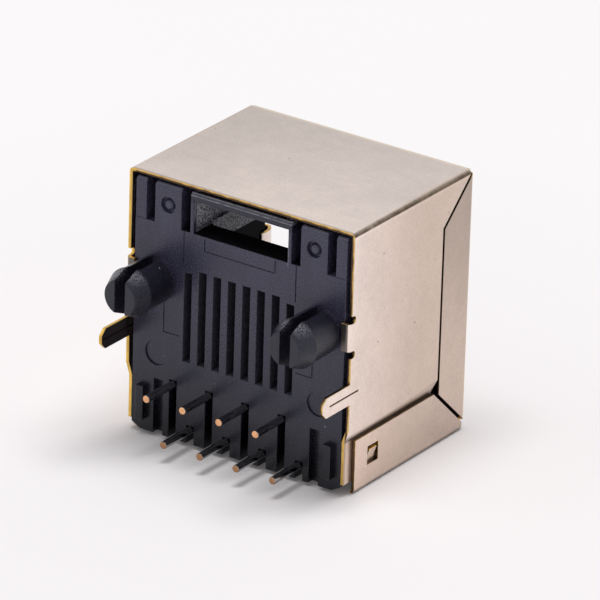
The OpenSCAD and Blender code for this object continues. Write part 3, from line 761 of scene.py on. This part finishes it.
def wire_end_finish(finish):
    """Sheared end of a pin, where the bare copper shows, darker on the lower row."""
    made = Finish("cut_copper")
    _, _, z = made.axes()
    tear = made.noise(scale=9000.0, rough=0.65)
    bare = made.mix(finish.wire_end, finish.wire_end_dull, made.span(tear, 0.45, 0.7, 0.0, 0.6))
    made.set("Base Color", made.shaded(bare, made.ramp(z, 2.2, 2.6, 0.5, 1.05)))
    made.set("Metallic", 1.0)
    made.set("Roughness", made.vary(0.35, 0.55, tear))
    made.set("Normal", made.bump(tear, depth=0.03, strength=0.6))
    return made.material


# Contact wires

class Tube:
    """An open tube whose end is drawn on, leg by leg."""

    def __init__(self, name, start, radius, sides, bend_r):
        bpy.ops.object.select_all(action="DESELECT")
        bpy.ops.mesh.primitive_circle_add(vertices=sides, radius=radius, fill_type="NOTHING",
                                          location=start, rotation=(math.pi / 2, 0, 0))
        self.piece = bpy.context.object
        self.piece.name = name
        self.piece.data.name = name
        apply_place(self.piece)
        bpy.ops.object.mode_set(mode="EDIT")
        bpy.ops.mesh.select_all(action="SELECT")
        self.end = Vector(start)
        self.heading = TO_PORT.copy()
        self.bend_r = bend_r
        self.sides = sides

    def run(self, distance, grow=1.0):
        """Draws the end straight on, wider or narrower."""
        step = self.heading * distance
        bpy.ops.mesh.extrude_region_move(TRANSFORM_OT_translate={"value": step})
        self.end += step
        if grow != 1.0:
            bpy.ops.transform.resize(value=(grow, grow, grow), center_override=self.end)

    def bend(self, turn, towards, degrees_each=9, least=3):
        """Bends the end round by an angle, towards a direction square to the heading."""
        axis = self.heading.cross(towards).normalized()
        centre = self.end + towards * self.bend_r
        steps = max(least, round(math.degrees(turn) / degrees_each))
        bpy.ops.mesh.spin(steps=steps, dupli=False, angle=turn, center=centre, axis=-axis)
        turned = Quaternion(axis, turn)
        self.end = centre + turned @ (self.end - centre)
        self.heading = turned @ self.heading

    def close(self):
        """Caps both ends and turns the faces outwards."""
        bpy.ops.mesh.select_all(action="SELECT")
        bpy.ops.mesh.remove_doubles(threshold=0.0005)
        bpy.ops.mesh.fill_holes(sides=self.sides)
        bpy.ops.mesh.select_all(action="SELECT")
        bpy.ops.mesh.normals_make_consistent(inside=False)
        bpy.ops.object.mode_set(mode="OBJECT")
        return self.piece


def s_bend(shift, slope, bend_r):
    """Straight length of an S-bend that shifts a wire sideways, and its whole run."""
    straight = (shift - 2 * bend_r * (1 - math.cos(slope))) / math.sin(slope)
    return straight, 2 * bend_r * math.sin(slope) + straight * math.cos(slope)


def draw_contact(number, size):
    """One contact: board pin, sideways jog, turn at the mouth and sloping spring."""
    wire_r, bend_r = size.wire_d / MM / 2, size.bend_r / MM
    place = number - (CONTACTS + 1) / 2
    pin_x, spring_x = place * size.pin_pitch / MM, place * size.pitch / MM
    upper = number % 2 == 1
    row2 = (size.row_z + size.row_gap) / MM
    start_y, turn_y = -size.pin_len / MM, size.turn_y / MM
    pin_z = row2 if upper else size.row_z / MM
    tube = Tube("contact_wire_%d" % number, (pin_x, start_y, pin_z), wire_r * PIN_END,
                size.sides, bend_r)
    width = PIN_END
    for step, wider in PIN_TIP:
        tube.run(step, wider / width)
        width = wider
    tube.run(size.jog_y / MM - tube.end.y)
    # Sideways jog from the pins' spacing to the springs'
    to_middle = -1 if place > 0 else 1
    jog, _ = s_bend(abs(pin_x - spring_x), size.jog_slope, bend_r)
    tube.bend(size.jog_slope, TO_RIGHT * to_middle)
    tube.run(jog)
    tube.bend(size.jog_slope, tube.heading.cross(UP) * -to_middle)
    if not upper:
        rise, rise_run = s_bend(size.row_gap / MM, size.rise_slope, bend_r)
        tube.run(turn_y - size.rise_back / MM - rise_run - tube.end.y)
        tube.bend(size.rise_slope, UP)
        tube.run(rise)
        tube.bend(size.rise_slope, tube.heading.cross(TO_RIGHT))
    tube.run(turn_y - tube.end.y)
    tube.bend(math.pi - size.spring_slope, UP)
    spring = (tube.end.y - size.spring_end / MM) / math.cos(size.spring_slope)
    tube.run(spring - sum(step for step, _ in SPRING_TIP))
    for step, narrower in SPRING_TIP:
        tube.run(step, narrower)
    return tube.close()


class JACK_OT_contacts(bpy.types.Operator):
    """Draws the eight bent contact wires along the course of the solids"""

    bl_idname = "jack.contacts"
    bl_label = "Contact wires"

    def execute(self, context):
        size, finish = context.scene.jack_wires, context.scene.jack_finish
        plated, bare = wire_finish(finish), wire_end_finish(finish)
        face_end = -size.pin_len / MM + PIN_FACE
        for number in range(1, CONTACTS + 1):
            piece = draw_contact(number, size)
            piece.data.materials.append(plated)
            piece.data.materials.append(bare)
            for face in piece.data.polygons:
                face.material_index = int(face.center.y < face_end)
            only(piece)
            bpy.ops.object.shade_smooth_by_angle(angle=math.radians(35))
            settle(piece, "contact_wire", "contact_%d" % number)
        return {"FINISHED"}


class JACK_OT_shield(bpy.types.Operator):
    """Rounds the edges of the folded sheet and gives it its plating and bare cut edges"""

    bl_idname = "jack.shield"
    bl_label = "Shield"

    def execute(self, context):
        edges, finish = context.scene.jack_edges, context.scene.jack_finish
        piece = merged_copy("shield", "shield_sheet")
        piece.data.materials.append(nickel_finish(finish))
        piece.data.materials.append(brass_finish(finish))
        mark_cut_faces(piece, edges.sheet_t / MM, 1)
        round_edges(piece, edges.sheet / MM, edges.least / MM)
        settle(piece, "shield_metal", "shield")
        return {"FINISHED"}


def is_inside(face):
    """Whether a face of the housing lies in the plug cavity or is the window's sill."""
    across, deep, high = abs(face.center.x), face.center.y, face.center.z
    sill = face.normal.z > 0.9 and across < SILL_HALF and SILL_Z[0] < high < SILL_Z[1]
    return sill or (across < CAVITY_HALF and CAVITY_Y[0] < deep < CAVITY_Y[1]
                    and CAVITY_Z[0] < high < CAVITY_Z[1])


class JACK_OT_housing(bpy.types.Operator):
    """Rounds the edges of the moulding and gives it its satin black skin"""

    bl_idname = "jack.housing"
    bl_label = "Housing"

    def execute(self, context):
        edges, finish = context.scene.jack_edges, context.scene.jack_finish
        piece = merged_copy("housing", "housing_moulding")
        piece.data.materials.append(moulding_finish(finish))
        piece.data.materials.append(cavity_finish(finish))
        for face in piece.data.polygons:
            face.material_index = int(is_inside(face))
        round_edges(piece, edges.moulding / MM, edges.least / MM)
        settle(piece, "housing_plastic", "housing")
        return {"FINISHED"}


# Stage

def floor_finish(stage):
    """Pale floor that keeps a soft shadow and stays white in reflections."""
    made = Finish("pale_floor")
    nodes, links = made.tree.nodes, made.tree.links
    nodes.remove(made.shader)
    faint = made.vary(0.0, 1.0, made.noise(scale=14.0, rough=0.5))
    tone = made.mix(tuple(FLOOR_CLOUD * c for c in stage.floor), stage.floor, faint)
    matt, glow = made.node("ShaderNodeBsdfDiffuse"), made.node("ShaderNodeEmission")
    links.new(tone, matt.inputs["Color"])
    links.new(tone, glow.inputs["Color"])
    path = made.node("ShaderNodeLightPath")
    seen = made.most(path.outputs["Is Camera Ray"], path.outputs["Is Glossy Ray"],
                     path.outputs["Is Transmission Ray"])
    ring = made.node("ShaderNodeVectorMath", operation="LENGTH")
    made.feed(ring.inputs[0], made.place)
    away = made.span(ring.outputs["Value"], FLOOR_NEAR, FLOOR_FAR,
                     stage.lift, stage.far_lift, smooth=True)
    both = made.node("ShaderNodeMixShader")
    made.feed(both.inputs["Fac"], made.product(seen, away))
    links.new(matt.outputs[0], both.inputs[1])
    links.new(glow.outputs[0], both.inputs[2])
    links.new(both.outputs[0], nodes["Material Output"].inputs["Surface"])
    return made.material


def light_world(stage):
    """Even light from all round, white where it is seen or reflected."""
    world = bpy.data.worlds.new("studio")
    bpy.context.scene.world = world
    world.use_nodes = True
    nodes, links = world.node_tree.nodes, world.node_tree.links
    ground = nodes["Background"]
    path = nodes.new("ShaderNodeLightPath")

    def larger(a, b):
        made = nodes.new("ShaderNodeMath")
        made.operation = "MAXIMUM"
        links.new(a, made.inputs[0])
        links.new(b, made.inputs[1])
        return made.outputs[0]

    mirrored = larger(path.outputs["Is Glossy Ray"], path.outputs["Is Transmission Ray"])
    level = nodes.new("ShaderNodeMapRange")
    links.new(mirrored, level.inputs["Value"])
    level.inputs["To Min"].default_value = stage.sky
    level.inputs["To Max"].default_value = stage.mirrored
    strength = larger(level.outputs["Result"], path.outputs["Is Camera Ray"])
    links.new(strength, ground.inputs["Strength"])
    tint = nodes.new("ShaderNodeMix")
    tint.data_type = "RGBA"
    links.new(mirrored, tint.inputs["Factor"])
    tint.inputs[6].default_value = SKY_TINT
    tint.inputs[7].default_value = MIRROR_TINT
    links.new(tint.outputs[2], ground.inputs["Color"])


def soft_lamp(name, place, width, depth, watts, mirrored=True):
    """An oblong lamp turned towards the part, which may stay out of reflections."""
    lamp = bpy.data.lights.new(name, "AREA")
    lamp.shape = "RECTANGLE"
    lamp.size = width
    lamp.size_y = depth
    lamp.energy = watts
    made = bpy.data.objects.new(name, lamp)
    bpy.context.scene.collection.objects.link(made)
    made.location = place
    aim = Vector(LAMP_TARGET) - Vector(place)
    made.rotation_euler = aim.to_track_quat("-Z", "Y").to_euler()
    made.visible_glossy = mirrored


def aim_camera(stage):
    """Camera at the photograph's viewing angle, fitted to the object's own edges."""
    azimuth, elevation = math.radians(VIEW_AZIMUTH), math.radians(VIEW_ELEVATION)
    roll = math.radians(VIEW_ROLL)
    ahead = Vector((-math.sin(azimuth) * math.cos(elevation),
                    math.cos(azimuth) * math.cos(elevation), -math.sin(elevation)))
    level = Vector((math.cos(azimuth), math.sin(azimuth), 0.0))
    upright = level.cross(ahead)
    right = math.cos(roll) * level + math.sin(roll) * upright
    up = -math.sin(roll) * level + math.cos(roll) * upright
    lens = bpy.data.cameras.new("camera")
    lens.lens = stage.lens
    lens.sensor_width = SENSOR
    camera = bpy.data.objects.new("camera", lens)
    bpy.context.scene.collection.objects.link(camera)
    place = VIEW_TARGET - VIEW_OFFSET.x * right - VIEW_OFFSET.y * up - VIEW_OFFSET.z * ahead
    turn = Matrix((right, up, -ahead)).transposed().to_4x4()
    camera.matrix_world = Matrix.Translation(place) @ turn
    bpy.context.scene.camera = camera


class JACK_OT_stage(bpy.types.Operator):
    """Sets the pale floor, the soft light and the camera"""

    bl_idname = "jack.stage"
    bl_label = "Stage"

    def execute(self, context):
        stage = context.scene.jack_stage
        context.scene.view_settings.view_transform = "Standard"
        bpy.ops.object.select_all(action="DESELECT")
        bpy.ops.mesh.primitive_plane_add(size=FLOOR_SIDE, location=(0, 0, 0))
        floor = context.object
        floor.name = "floor"
        floor.data.materials.append(floor_finish(stage))
        light_world(stage)
        soft_lamp("key", KEY_PLACE, stage.key_size, stage.key_depth, stage.key_power,
                  mirrored=False)
        soft_lamp("fill", FILL_PLACE, stage.fill_size, stage.fill_size, stage.fill_power)
        aim_camera(stage)
        return {"FINISHED"}


class JACK_PT_panel(bpy.types.Panel):
    """Lists the sizes, the finishes and the steps"""

    bl_idname = "JACK_PT_panel"
    bl_label = "Modular jack"
    bl_space_type = "VIEW_3D"
    bl_region_type = "UI"
    bl_category = "Jack"

    def draw(self, context):
        for step in STEPS:
            self.layout.operator(step.bl_idname)
        for name in GROUPS:
            group = getattr(context.scene, name)
            box = self.layout.box()
            for key in group.__annotations__:
                box.prop(group, key)


STEPS = (JACK_OT_stage, JACK_OT_shield, JACK_OT_housing, JACK_OT_contacts)
CLASSES = (*GROUPS.values(), *STEPS, JACK_PT_panel)


def register():
    for made in CLASSES:
        bpy.utils.register_class(made)
    for name, group in GROUPS.items():
        setattr(bpy.types.Scene, name, PointerProperty(type=group))


def unregister():
    for name in GROUPS:
        delattr(bpy.types.Scene, name)
    for made in reversed(CLASSES):
        bpy.utils.unregister_class(made)


def main():
    register()
    bpy.ops.jack.stage()
    bpy.ops.jack.shield()
    bpy.ops.jack.housing()
    bpy.ops.jack.contacts()


if __name__ == "__main__":
    main()
